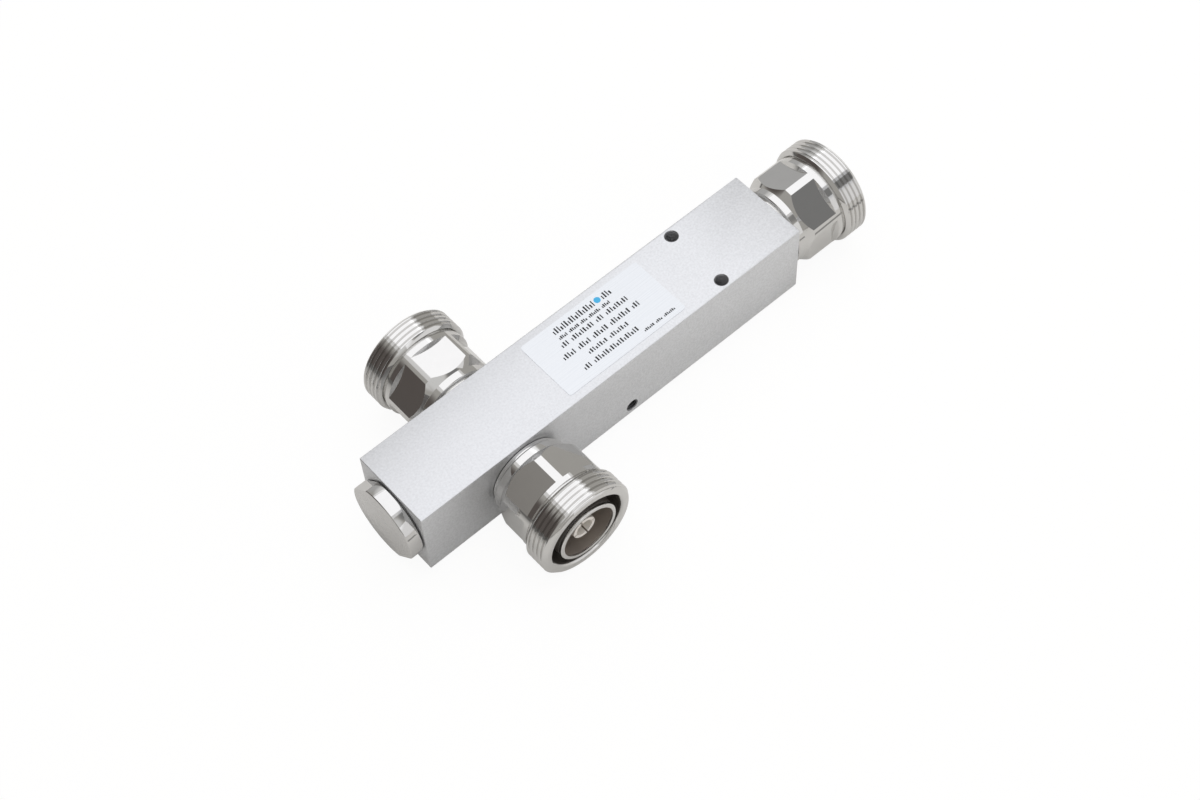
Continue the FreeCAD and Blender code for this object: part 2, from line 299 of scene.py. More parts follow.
def blasted_anodised_aluminium():
    finish, tree = new_finish("blasted_anodised_aluminium")
    spot = add(tree, "ShaderNodeTexCoord").outputs["Object"]
    dents = add(tree, "ShaderNodeTexNoise", {"Vector": spot, "Scale": 1 / DENT, "Detail": 4.0})
    drift = add(tree, "ShaderNodeTexNoise", {"Vector": spot, "Scale": 1 / (30 * MM), "Detail": 2.0})
    tones = {0: drift.outputs[0], 6: linear("#D9DADC"), 7: linear("#DFE0E2")}
    tone = add(tree, "ShaderNodeMix", tones, data_type="RGBA")
    speck = add(tree, "ShaderNodeMapRange", {0: dents.outputs[0], 1: NOISE_LOW, 2: NOISE_HIGH, 3: 0.88, 4: 1.08})
    along = add(tree, "ShaderNodeSeparateXYZ", {0: spot})
    # painted light: the colour is darker at the cap end and paler towards the input end
    painted_light = add(tree, "ShaderNodeMapRange", {0: along.outputs["X"], 1: PAINTED_LIGHT_FROM, 2: PAINTED_LIGHT_TO, 3: 0.965, 4: 1.05})
    shade = add(tree, "ShaderNodeMath", {0: speck.outputs[0], 1: painted_light.outputs[0]}, operation="MULTIPLY")
    colour = add(tree, "ShaderNodeVectorMath", {0: tone.outputs[2], 1: shade.outputs[0]}, operation="MULTIPLY")
    rough = add(tree, "ShaderNodeMapRange", {0: dents.outputs[0], 1: NOISE_LOW, 2: NOISE_HIGH, 3: 0.40, 4: 0.52})
    bump = add(tree, "ShaderNodeBump", {"Height": dents.outputs[0], "Strength": 0.35, "Distance": 0.03 * MM})
    shader = add(tree, "ShaderNodeBsdfPrincipled", {
        "Base Color": colour.outputs[0], "Metallic": 1.0, "Roughness": rough.outputs[0], "Normal": bump.outputs[0],
    })
    add(tree, "ShaderNodeOutputMaterial", {0: shader.outputs[0]})
    return finish


ALUMINIUM = blasted_anodised_aluminium()

# %% [markdown]
# The jacks are brass with a bright white plating, as such jacks have. The plating follows the lathe marks
# below it: rings that only change along the axis and with the radius. A noise that is fed just those two
# numbers draws rings on tubes and circles on faces at once. The walls inside a jack's mouth are rougher and
# less metallic, and deep in the mouth they get painted shade: a darker colour for the shade in there. The
# cap has the same plating, and its face is satin from the facing tool.

# %% White plating on turned brass
SHELL_MARKS, CAP_MARKS = 0.12, 0.16  # millimetres between lathe marks
# painted shade: darker colours for the walls deep inside a jack's mouth, where shade falls
PAINTED_SHADE_WALLS = (  # middle and half of the range of radii, where the wall starts, its mouth, its colour
    (10.42, 1.36, 14.5, 23.9, "#77716B"),  # the groove round the tube
    (7.5, 0.54, 8.9, 24.45, "#A59B92"),  # the inside of the tube
)
SHADE_REACH, SHADE_SHARE = 0.5, 0.96  # the painted shade is full this far behind a wall's mouth
NOWHERE = -99.0  # a place on the axis that is behind every piece


def turned_plating(name, base, smear, roughness, marks_apart, painted_shade_inside=False, satin_before=NOWHERE):
    finish, tree = new_finish(name)
    spot = add(tree, "ShaderNodeAttribute", attribute_name="made_at").outputs["Vector"]
    split = add(tree, "ShaderNodeSeparateXYZ", {0: spot})
    along = split.outputs["X"]
    across = add(tree, "ShaderNodeCombineXYZ", {"Y": split.outputs["Y"], "Z": split.outputs["Z"]})
    radius = add(tree, "ShaderNodeVectorMath", {0: across.outputs[0]}, operation="LENGTH").outputs["Value"]
    rings = add(tree, "ShaderNodeCombineXYZ", {"X": along, "Y": radius})
    marks = add(tree, "ShaderNodeTexNoise", {"Vector": rings.outputs[0], "Scale": 1 / marks_apart, "Detail": 2.0})
    stain = add(tree, "ShaderNodeTexNoise", {"Vector": spot, "Scale": 0.25, "Detail": 3.0})
    colour = add(tree, "ShaderNodeMix", {0: stain.outputs[0], 6: linear(base), 7: linear(smear)}, data_type="RGBA")
    rough = add(tree, "ShaderNodeMapRange", {
        0: marks.outputs[0], 1: NOISE_LOW, 2: NOISE_HIGH, 3: roughness * 0.8, 4: roughness * 1.3,
    })
    metal = 1.0
    # painted shade: deep in the mouth each wall gets a darker colour, and more roughness and less metal
    for middle, half, back, mouth, shade_colour in PAINTED_SHADE_WALLS if painted_shade_inside else ():
        band = add(tree, "ShaderNodeMath", {0: radius, 1: middle, 2: half}, operation="COMPARE")
        front = add(tree, "ShaderNodeMath", {0: along, 1: back}, operation="GREATER_THAN")
        inside = add(tree, "ShaderNodeMath", {0: band.outputs[0], 1: front.outputs[0]}, operation="MULTIPLY")
        deep = add(tree, "ShaderNodeMapRange", {0: along, 1: mouth, 2: mouth - SHADE_REACH, 3: 0.0, 4: SHADE_SHARE})
        share = add(tree, "ShaderNodeMath", {0: inside.outputs[0], 1: deep.outputs[0]}, operation="MULTIPLY").outputs[0]
        colour = add(tree, "ShaderNodeMix", {0: share, 6: colour.outputs[2], 7: linear(shade_colour)}, data_type="RGBA")
        rough = add(tree, "ShaderNodeMath", {0: share, 1: 0.25, 2: rough.outputs[0]}, operation="MULTIPLY_ADD")
        metal = add(tree, "ShaderNodeMath", {0: share, 1: -0.55, 2: metal}, operation="MULTIPLY_ADD").outputs[0]
    satin = add(tree, "ShaderNodeMath", {0: along, 1: satin_before}, operation="LESS_THAN")
    rough = add(tree, "ShaderNodeMath", {0: satin.outputs[0], 1: 0.2, 2: rough.outputs[0]}, operation="MULTIPLY_ADD")
    bump = add(tree, "ShaderNodeBump", {"Height": marks.outputs[0], "Strength": 0.15, "Distance": 0.01 * MM})
    shader = add(tree, "ShaderNodeBsdfPrincipled", {
        "Base Color": colour.outputs[2], "Metallic": metal, "Roughness": rough.outputs[0], "Normal": bump.outputs[0],
    })
    add(tree, "ShaderNodeOutputMaterial", {0: shader.outputs[0]})
    return finish


PLATING = turned_plating("white_plated_brass", "#D6D5D3", "#D0CFCD", 0.055, SHELL_MARKS, painted_shade_inside=True)
CAP_PLATING = turned_plating("faced_white_plating", "#D4D3D2", "#CDCCCA", 0.06, CAP_MARKS, satin_before=-4.15)
print("lathe marks:", SHELL_MARKS, "mm apart on the jacks and", CAP_MARKS, "mm on the cap")

# %% [markdown]
# The other finishes are of one kind: a colour that drifts a little to another over 12 mm, and a fine grain
# in the roughness and the relief. The contacts have a matt silver plate, paler and softer than the jacks.
# The walls of the tapped holes are a darker aluminium than the blasted skin: painted shade in the holes.
# PTFE is a waxy white plastic, the rubber is a dull black, and the hidden conductors are bright silver
# plate. The inks are matt, so they stay dark and flat where the foil below them shines.

# %% The plain finishes
def plain_finish(name, base, other, grain_mm, **shader_values):
    """A finish of one colour that drifts to another, with a fine grain in its roughness and its relief."""
    finish, tree = new_finish(name)
    spot = add(tree, "ShaderNodeTexCoord").outputs["Object"]
    grain = add(tree, "ShaderNodeTexNoise", {"Vector": spot, "Scale": 1 / (grain_mm * MM), "Detail": 3.0})
    drift = add(tree, "ShaderNodeTexNoise", {"Vector": spot, "Scale": 1 / (12 * MM), "Detail": 2.0})
    colour = add(tree, "ShaderNodeMix", {0: drift.outputs[0], 6: linear(base), 7: linear(other)}, data_type="RGBA")
    roughness = shader_values.pop("Roughness")
    rough = add(tree, "ShaderNodeMapRange", {
        0: grain.outputs[0], 1: NOISE_LOW, 2: NOISE_HIGH, 3: roughness - 0.05, 4: roughness + 0.05,
    })
    bump = add(tree, "ShaderNodeBump", {"Height": grain.outputs[0], "Strength": 0.3, "Distance": 0.02 * MM})
    sockets = {"Base Color": colour.outputs[2], "Roughness": rough.outputs[0], "Normal": bump.outputs[0]}
    shader = add(tree, "ShaderNodeBsdfPrincipled", {**sockets, **shader_values})
    add(tree, "ShaderNodeOutputMaterial", {0: shader.outputs[0]})
    return finish


SILVER = plain_finish("matt_silver_plate", "#F4F1EC", "#EAE5DE", 0.25, Roughness=0.5, Metallic=0.55)
# painted shade in the three tapped holes: their walls are a darker aluminium
SHADED_HOLE_WALLS = plain_finish("aluminium_with_painted_shade", "#8C8C8E", "#707072", 0.3, Roughness=0.5, Metallic=1.0)
PTFE = plain_finish("turned_ptfe", "#F1F0EC", "#E9E7E1", 0.3, Roughness=0.45, IOR=1.35)
RUBBER = plain_finish("black_nitrile_rubber", "#17181A", "#1F2022", 0.4, Roughness=0.62, IOR=1.52)
CONDUCTOR = plain_finish("silver_plated_conductor", "#E4E1DA", "#D8D3C8", 0.25, Roughness=0.24, Metallic=1.0)
INK = plain_finish("screen_printed_ink", "#17181A", "#1E1F21", 0.2, Roughness=0.55, IOR=1.5)
BLUE_INK = plain_finish("screen_printed_blue_ink", "#45BDF2", "#4FC2F4", 0.2, Roughness=0.55, IOR=1.5)

# %% [markdown]
# The label is aluminium foil with a fine brushed grain along its length. A noise that is stretched along X
# draws it: strokes 14 mm long and 0.32 mm wide, wider than real ones so that they show.

# %% Brushed foil
STROKE_SCALE = (1 / (14 * MM), 1 / (0.32 * MM), 1 / MM)


def brushed_foil():
    finish, tree = new_finish("brushed_foil")
    spot = add(tree, "ShaderNodeTexCoord").outputs["Object"]
    along = add(tree, "ShaderNodeMapping", {"Vector": spot, "Scale": STROKE_SCALE})
    strokes = add(tree, "ShaderNodeTexNoise", {"Vector": along.outputs[0], "Scale": 1.0, "Detail": 3.0})
    tones = {0: strokes.outputs[0], 6: linear("#CCCFD2"), 7: linear("#EEF0F3")}
    colour = add(tree, "ShaderNodeMix", tones, data_type="RGBA")
    rough = add(tree, "ShaderNodeMapRange", {0: strokes.outputs[0], 1: NOISE_LOW, 2: NOISE_HIGH, 3: 0.38, 4: 0.5})
    bump = add(tree, "ShaderNodeBump", {"Height": strokes.outputs[0], "Strength": 0.2, "Distance": 0.01 * MM})
    shader = add(tree, "ShaderNodeBsdfPrincipled", {
        "Base Color": colour.outputs[2], "Metallic": 1.0, "Roughness": rough.outputs[0], "Normal": bump.outputs[0],
    })
    add(tree, "ShaderNodeOutputMaterial", {0: shader.outputs[0]})
    return finish


FOIL = brushed_foil()

# %% [markdown]
# The bar first. A cube of the bar's size gets its edges bevelled, and then the bores and the tapped holes
# are cut: the two ports of the output jacks, which meet in the middle, the line's bore from end to end, and
# a port at each end. The output ports go before the line's bore, because the solver then leaves no skin
# where they cross.

# %% The bar blank
BAR_LOW, BAR_HIGH = [[c / MM for c in corner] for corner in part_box("bar")]
BAR_LENGTH, BAR_SIDE = BAR_HIGH[0] - BAR_LOW[0], BAR_HIGH[1] - BAR_LOW[1]
HALF, TOP = BAR_LENGTH / 2, BAR_SIDE / 2
AXIS_Z = (BAR_LOW[2] + BAR_HIGH[2]) / 2
BAR_EDGE = 0.25
print("bar", round(BAR_LENGTH, 2), "by", round(BAR_SIDE, 2), "mm, axis at height", round(AXIS_Z, 2))

bar = block("bar_block", (0, 0, 0), (BAR_LENGTH, BAR_SIDE, BAR_SIDE))
edit(bar, "EDGE")
bpy.ops.mesh.select_all(action="SELECT")
bpy.ops.mesh.bevel(offset=BAR_EDGE, segments=3, profile=0.5, affect="EDGES")
bpy.ops.object.mode_set(mode="OBJECT")

# %% Bores and ports of the bar
JUNCTION_FROM_CAP = 32.4
JUNCTION_X = BAR_LOW[0] + JUNCTION_FROM_CAP
LINE_BORE, SPIGOT, PORT = 8.0, 10.0, 10.05  # radii
CAP_PORT_DEPTH, INPUT_PORT_DEPTH = 7, 7.5
OUTSIDE = HALF + 1

output_ports = cylinder("output_ports", -13, 13, PORT)
machine(bar, aim(output_ports, (0, 0, RIGHT_ANGLE), (JUNCTION_FROM_CAP - HALF, 0, 0)))
machine(bar, cylinder("line_bore", -OUTSIDE, OUTSIDE, LINE_BORE))
machine(bar, cylinder("cap_port", -OUTSIDE, CAP_PORT_DEPTH - HALF, PORT))
machine(bar, cylinder("input_port", HALF - INPUT_PORT_DEPTH, OUTSIDE, PORT))
print("after the bores the bar has", len(bar.data.polygons), "faces")

# %% [markdown]
# Three M4 holes hold a bracket. They have a real thread, because a camera can look into them. A tapped hole
# takes three tools: a drill with a 118 degree point, a countersink that breaks the edge, and a tap. The
# drill and the countersink are one turned cutter here. The tap's ridges are a helix that reaches from the
# drilled wall out to 4 mm.

# %% The three M4 holes
TOP_HOLES_X, TOP_HOLES_Y = 103.0 - HALF, 9.6
SIDE_HOLE_X, SIDE_HOLE_Z = 68.8 - HALF, -9.0
DRILL, TAP, TAP_PITCH, TAP_TURNS, HOLE_DEPTH = 1.66, 2.0, 0.7, 10, 7.0
DRILL_POINT = DRILL / math.tan(math.radians(59))
HOLES = [((TOP_HOLES_X, side * TOP_HOLES_Y, TOP), (0, RIGHT_ANGLE, 0)) for side in (1, -1)]
HOLES.append(((SIDE_HOLE_X, -TOP, SIDE_HOLE_Z), (0, 0, RIGHT_ANGLE)))


def tap_hole(piece, mouth, turn):
    """Cuts one hole. Its cutters are made along +X, into the metal, and turned to the mouth."""
    hole = turned("drill", [
        (-1, 0), (-1, 2.95), (0.2, 1.75), (0.2, DRILL), (HOLE_DEPTH, DRILL), (HOLE_DEPTH + DRILL_POINT, 0),
    ], sides=48)
    ridge = [(-1.4, DRILL - 0.1), (-0.75, DRILL - 0.1), (-1.03, TAP), (-1.12, TAP)]
    tap = thread_cutter("tap", ridge, TAP_PITCH, TAP_TURNS, 0.1, 48)
    for cutter in (hole, tap):
        machine(piece, aim(cutter, turn, mouth))


for mouth, turn in HOLES:
    tap_hole(bar, mouth, turn)
tidy_surface(bar, sharp_from=28)
print("with", len(HOLES), "tapped holes the bar has", len(bar.data.polygons), "faces")

# %% [markdown]
# The walls of these three holes get a darker aluminium, which is painted shade in the holes. A face belongs to
# a wall when its middle lies inside the hole's round and below the bar's skin.

# %% Setting the bar down
WALL_REACH, SKIN, NEAR_AXIS = TAP + 0.1, 0.06, 2.0


def in_a_tapped_hole(c):
    from_top = min(math.hypot(c.x - TOP_HOLES_X, c.y - side * TOP_HOLES_Y) for side in (1, -1))
    from_side = math.hypot(c.x - SIDE_HOLE_X, c.z - SIDE_HOLE_Z)
    in_top = from_top < WALL_REACH and NEAR_AXIS < c.z < TOP - SKIN
    return in_top or (from_side < WALL_REACH and SKIN - TOP < c.y < -NEAR_AXIS)


bar_middle = ((BAR_LOW[0] + BAR_HIGH[0]) / 2, 0, AXIS_Z)
set_down(bar, bar_middle, replaces="bar", finish=ALUMINIUM)
bar.data.materials.append(SHADED_HOLE_WALLS)
made_at = bar.data.attributes["made_at"].data
for face in bar.data.polygons:
    corners = [made_at[v].vector for v in face.vertices]
    face.material_index = int(in_a_tapped_hole(sum(corners, start=Vector()) / len(corners)))
print("faces in the tapped holes:", sum(face.material_index for face in bar.data.polygons))

# %% [markdown]
# The end cap is a turned disc with a spigot behind it and two flats for a spanner. It is turned as one
# blank, and the flats are milled with two boxes. Its back has a shallow rebate, which shows as the thin dark
# line between the cap and the bar.

# %% The end cap
CAP_FACE, CAP_BACK, CAP_ROUND, CAP_FLAT = -4.2, -0.35, 11.5, 10.5
REBATE, SEAL_SEAT, SEAL_SEAT_END, SPIGOT_END = 9.6, 9, 1.6, 6

cap = turned("cap_turned", [
    (CAP_FACE, 0), (CAP_FACE, CAP_ROUND - 0.2), (CAP_FACE + 0.2, CAP_ROUND), (CAP_BACK - 0.15, CAP_ROUND),
    (CAP_BACK, CAP_ROUND - 0.15), (CAP_BACK, REBATE), (0, REBATE), (0, SEAL_SEAT), (SEAL_SEAT_END, SEAL_SEAT),
    (SEAL_SEAT_END, SPIGOT), (SPIGOT_END - 0.3, SPIGOT), (SPIGOT_END, SPIGOT - 0.3), (SPIGOT_END, 0),
], rounding=0.06)
for angle in (222, 42):
    machine(cap, block("flat", (-2, CAP_FLAT + 2, 0), (8, 4, 30), math.radians(angle)))
tidy_surface(cap)
set_down(cap, (BAR_LOW[0], 0, AXIS_Z), replaces="end_cap", finish=CAP_PLATING)

# %% [markdown]
# Each jack's shell is turned from one bar of brass: spigot, neck, collar, cone, the round for the flats, the
# ring, a relief, and the coupling thread's blank, then the deep groove that the mating plug's ring slides
# into, and the outer conductor's tube. All sizes are along the jack's own axis from the bar's face.

# %% Turning the shell
SPIGOT_BACK, SPIGOT_BORE, BORE_STEP = -3.95, 8.8, 9
NECK, NECK_END, COLLAR, COLLAR_END, CONE_END = 10.5, 1.4, 11.5, 3.8, 6.0
ROUND, FLAT = 13.26, 12.0  # the round that the flats are milled on, and a flat's distance from the axis
RELIEF, RELIEF_START, THREAD_START = ROUND - 0.4, 15.8, 16.6
SHELL_END, CREST, CHAMFER = 24.2, 14.5, 0.9
TUBE_RIM, TUBE_OUT, TUBE_IN, SHELL_BORE, GROOVE_FLOOR, LIP = 24.6, 9.1, LINE_BORE, 11.75, 14.6, 11.42


def shell_blank():
    return turned("shell_blank", [
        (SPIGOT_BACK, SPIGOT_BORE), (SPIGOT_BACK, SPIGOT), (0.4, SPIGOT), (0.4, 10.42), (0.15, 10.42), (0.15, NECK),
        (NECK_END, NECK), (NECK_END, COLLAR - 0.45), (NECK_END + 0.45, COLLAR), (COLLAR_END, COLLAR),
        (CONE_END, ROUND), (RELIEF_START, ROUND), (RELIEF_START, RELIEF), (THREAD_START, RELIEF),
        (THREAD_START, CREST - CHAMFER), (THREAD_START + CHAMFER, CREST), (SHELL_END - CHAMFER, CREST),
        (SHELL_END, CREST - CHAMFER), (SHELL_END, LIP + 0.5), (SHELL_END - 0.5, LIP), (SHELL_END - 1.2, LIP),
        (SHELL_END - 1.5, SHELL_BORE), (GROOVE_FLOOR, SHELL_BORE), (GROOVE_FLOOR, TUBE_OUT),
        (TUBE_RIM - 0.2, TUBE_OUT), (TUBE_RIM, TUBE_OUT - 0.2), (TUBE_RIM, TUBE_IN),
        (BORE_STEP, TUBE_IN), (BORE_STEP, SPIGOT_BORE),
    ], rounding=0.07)


# %% [markdown]
# Six flats are milled on the round, up to the cone behind the ring. The cutter is a thick ring with a hexagon
# taken out of its middle. The hexagon is the same lathe helper with only six sides.

# %% Milling the flats
FLAT_FOOT, RING_START = 13.6, 14.3  # the cone behind the ring, on a flat's middle and on the round


def mill_flats(blank):
    low, high = FLAT - 0.5, FLAT + 3.0
    slope = (RING_START - FLAT_FOOT) / (ROUND - FLAT)
    foot, top = FLAT_FOOT + slope * (low - FLAT), FLAT_FOOT + slope * (high - FLAT)
    cutter = turned("flats_cutter", [(COLLAR_END, low), (foot, low), (top, high), (COLLAR_END, high)])
    machine(cutter, cylinder("hexagon", 2, 18, FLAT / math.cos(math.pi / 6), sides=6))
    machine(blank, cutter)


# %% [markdown]
# The coupling thread is M29 with a pitch of 1.5 mm. Its groove is narrower at the root than at the crests,
# with the 60 degree angle of such threads.

# %% Cutting the coupling thread
PITCH, GROOVE_DEPTH, PAST_CREST = 1.5, 0.54, 0.1
ROOT_HALF = 0.15
PAST_HALF = ROOT_HALF + (GROOVE_DEPTH + PAST_CREST) * math.tan(math.radians(30))
GROOVE_AT = 14.85  # where the groove crosses the jack's upper side, before it reaches the relief
GROOVE = [
    (GROOVE_AT - PAST_HALF, CREST + PAST_CREST), (GROOVE_AT - ROOT_HALF, CREST - GROOVE_DEPTH),
    (GROOVE_AT + ROOT_HALF, CREST - GROOVE_DEPTH), (GROOVE_AT + PAST_HALF, CREST + PAST_CREST),
]

shell = shell_blank()
mill_flats(shell)
machine(shell, thread_cutter("thread_groove", GROOVE, PITCH, 7, math.radians(1.3), 96))
tidy_surface(shell)
print("shell has", len(shell.data.polygons), "faces")

# %% [markdown]
# The three jacks are one design. The input jack only has a longer spigot, so its copy gets the back of the
# spigot pulled out by 2.55 mm. Each jack is screwed in until it is tight, so its flats stop at its own angle.

# %% Setting the shells down
LONGER_SPIGOT = 2.55
JACKS = {
    "input": ((BAR_HIGH[0], 0, AXIS_Z), (math.radians(6.5), 0, 0)),
    "left": ((JUNCTION_X, TOP, AXIS_Z), (math.radians(-23.5), 0, RIGHT_ANGLE)),
    "right": ((JUNCTION_X, -TOP, AXIS_Z), (0, 0, -RIGHT_ANGLE)),
}
for name, (place, turn) in JACKS.items():
    copy = twin(shell, name + "_jack_shell")
    if name == "input":
        pick_faces(copy, lambda middle: middle.x < SPIGOT_BACK + 0.2)
        bpy.ops.transform.translate(value=(-LONGER_SPIGOT, 0, 0))
        bpy.ops.object.mode_set(mode="OBJECT")
    set_down(copy, place, turn, name + "_shell", PLATING)
bpy.data.objects.remove(shell)


def set_down_on_jacks(master, ending, node, finish):
    """Sets a copy of a finished piece down on each jack and throws the master away."""
    for name, (place, turn) in JACKS.items():
        set_down(twin(master, name + ending), place, turn, name + node, finish)
    bpy.data.objects.remove(master)


# %% [markdown]
# The contact is a socket that grips the plug's pin. Its end is drilled 5 mm and cut by two crossed saw cuts,
# which makes four springy fingers. The waist behind it goes through the PTFE bead, and the stud screws into
# the inner conductor.

# %% The slotted contact
TIP, SOCKET, SOCKET_BORE, WAIST, STUD = 22.9, 3.5, 2.5, 2.8, 2
SLOT_DEPTH, SLOT_WIDTH = 8.4, 0.45
contact = turned("contact", [
    (-1, 0), (-1, STUD - 0.2), (-0.8, STUD), (5, STUD), (5, WAIST), (BORE_STEP, WAIST), (BORE_STEP, SOCKET),
    (TIP - 0.12, SOCKET), (TIP, SOCKET - 0.12), (TIP, SOCKET_BORE + 0.08), (TIP - 0.08, SOCKET_BORE),
    (TIP - 9.5, SOCKET_BORE), (TIP - 9.5, 0),
], rounding=0.04, sides=64)
for finger in range(4):
    turn = math.radians(15 + 90 * finger)
    machine(contact, block("saw_cut", (TIP - SLOT_DEPTH + 5, 2.1, 0), (10, 4.2, SLOT_WIDTH), turn))
tidy_surface(contact)
set_down_on_jacks(contact, "_socket", "_contact", SILVER)

# %% [markdown]
# Rubber rings seal the cap and the jacks. They are squeezed flat, so a section is a box with blunt corners.

# %% Rubber rings
gasket = turned("gasket", [(0, 10.0), (0, 10.34), (0.08, 10.4), (0.32, 10.4), (0.4, 10.34), (0.4, 10.0)])
set_down_on_jacks(gasket, "_sealing_ring", "_gasket", RUBBER)
seal = turned("cap_sealing_ring", [
    (0, 9.15), (0.25, 9.0), (1.05, 9.0), (1.3, 9.15), (1.3, 9.85), (1.05, 10.0), (0.25, 10.0), (0, 9.85),
])
set_down(seal, (BAR_LOW[0], 0, AXIS_Z), (0, 0, 0), "cap_seal", RUBBER)

# %% [markdown]
# The pieces that stay inside keep their CAD meshes and get their finish.

# %% Finishes on the inner pieces
for name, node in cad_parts.items():
    inner = {"bead": PTFE, "bush": CONDUCTOR, "stub": CONDUCTOR, "rod": CONDUCTOR}.get(name.split("_")[-1])
    if inner:
        node.data.materials.clear()
        node.data.materials.append(inner)
        print(name, "is", inner.name)

# %% [markdown]
# The label is a 0.12 mm foil with rounded corners. Its print is a set of small upright strokes of ink, less
# than 0.02 mm thick, in rows, and one round dot. The small rows are printed heavier, so they look as dark as
# the rest.

# %% The foil
LABEL_LOW, LABEL_HIGH = [[c / MM for c in corner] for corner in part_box("label")]
LABEL_SIZE = [high - low for low, high in zip(LABEL_LOW, LABEL_HIGH)]
ROOM_FOR_INK = 0.02  # the foil is this much thinner than the CAD's label
CORNER = 0.8

foil_middle = (0, 0, LABEL_SIZE[2] / 2 - ROOM_FOR_INK / 2)
label = block("foil_label", foil_middle, (LABEL_SIZE[0], LABEL_SIZE[1], LABEL_SIZE[2] - ROOM_FOR_INK))
label.data.materials.append(FOIL)
edit(label, "EDGE")
bpy.ops.mesh.select_all(action="DESELECT")
bpy.ops.object.mode_set(mode="OBJECT")
for edge in label.data.edges:
    a, b = [label.data.vertices[v].co for v in edge.vertices]
    edge.select = abs(a.z - b.z) > 0.05
bpy.ops.object.mode_set(mode="EDIT")
bpy.ops.mesh.bevel(offset=CORNER, segments=6, affect="EDGES")
bpy.ops.object.mode_set(mode="OBJECT")
print("label", [round(d, 2) for d in LABEL_SIZE])

# %% The print
LABEL_FROM_CAP, LABEL_OFF_AXIS = 70.5, 0.1
INK_MIDDLE, INK_THICKNESS = LABEL_SIZE[2] - 0.014, 0.016
SHORT, THICK, THIN = 0.62, 0.56, 0.4  # share of a full stroke's height, and of the spacing for its width
ROWS = [  # from the bar's cap end to the row's start, low and high side, spacing, weight, strokes per group
    (59.9, 6.7, 8.6, 0.83, 1.0, (17,)),
    (76.4, 6.7, 8.6, 0.83, 1.0, (4,)),
    (59.9, 4.7, 5.7, 0.56, 1.35, (5, 6, 4, 7, 5)),
    (58.8, 2.3, 3.8, 0.84, 1.0, (3, 9, 3, 9)),
    (56.7, -0.9, 0.7, 0.84, 1.0, (5, 5, 6, 8, 3)),
    (62.7, -3.7, -2.4, 0.80, 1.0, (8, 8)),
    (58.7, -6.7, -5.2, 0.84, 1.0, (3, 18)),
    (77.7, -8.2, -7.4, 0.56, 1.35, (6, 4, 7)),
]
DOT_FROM_CAP, DOT_ACROSS, DOT_RADIUS = 75.0, 7.55, 0.95


def print_row(start, low, high, pitch, weight, groups):
    """Upright strokes in groups; every third is short, and a group ends with a space."""
    made, x = [], start - LABEL_FROM_CAP
    for strokes in groups:
        for i in range(strokes):
            top = high if i % 3 else low + SHORT * (high - low)
            width = pitch * weight * (THICK if i % 2 else THIN)
            place = (x + pitch / 4, (low + top) / 2 - LABEL_OFF_AXIS, INK_MIDDLE)
            ink = block("ink", place, (width, top - low, INK_THICKNESS))
            ink.data.materials.append(INK)
            made.append(ink)
            x += pitch
        x += pitch
    return made


def blue_dot():
    """One round field of colour in the first row."""
    clear_selection()
    place = (DOT_FROM_CAP - LABEL_FROM_CAP, DOT_ACROSS, INK_MIDDLE)
    bpy.ops.mesh.primitive_cylinder_add(vertices=48, radius=DOT_RADIUS, depth=INK_THICKNESS, location=place)
    dot = bpy.context.object
    bpy.ops.object.transform_apply(location=True)
    dot.data.materials.append(BLUE_INK)
    return dot


inks = [ink for row in ROWS for ink in print_row(*row)] + [blue_dot()]
make_active(label)
for ink in inks:
    ink.select_set(True)
bpy.ops.object.join()
set_down(label, (BAR_LOW[0] + LABEL_FROM_CAP, LABEL_OFF_AXIS, LABEL_LOW[2]), replaces="label")
print("the label has", len(inks), "marks of ink")

# %% [markdown]
# The stage is a plain pale floor. Camera rays see most of it as flat white, which gives a product picture's
# background, and the rest of it is lit, so the object's shadow stays. Bright metal mirrors the floor, and
# for glossy rays only the floor carries a painted reflection: painted shade that grows darker away from the
# light, a painted shadow by the cap, and a painted dark strip in front of the jacks.

# %% The floor
FLOOR_COLOUR = "#F1EFEB"
WHITE_SEEN, WHITE_MIRRORED = 0.9, 0.12  # share of flat white for camera rays and for glossy rays
WHITE_STRENGTH = 1.03
AWAY = (-0.866, 0.5, 0.0)  # away from the light; the places below are in metres
# painted shade in reflections: the floor falls darker away from the light
FALL_START, FALL_END, FALL_LEFT = 0.075, 0.22, 0.22
# a painted dark strip in front of the jacks, seen only in reflections
STRIP_Y, STRIP_HALF, STRIP_DARK = -0.084, 0.012, -0.6
CAP_STRIP, INPUT_STRIP = (-0.062, 0.012), (0.1, 0.057)  # middle and half of each one's length along X
# a painted shadow on the floor by the cap, seen only in reflections
BY_CAP, CAP_SHADE_START, CAP_SHADE_END, CAP_SHADE = (-0.068, -0.014, 0.0), 0.012, 0.045, 0.85


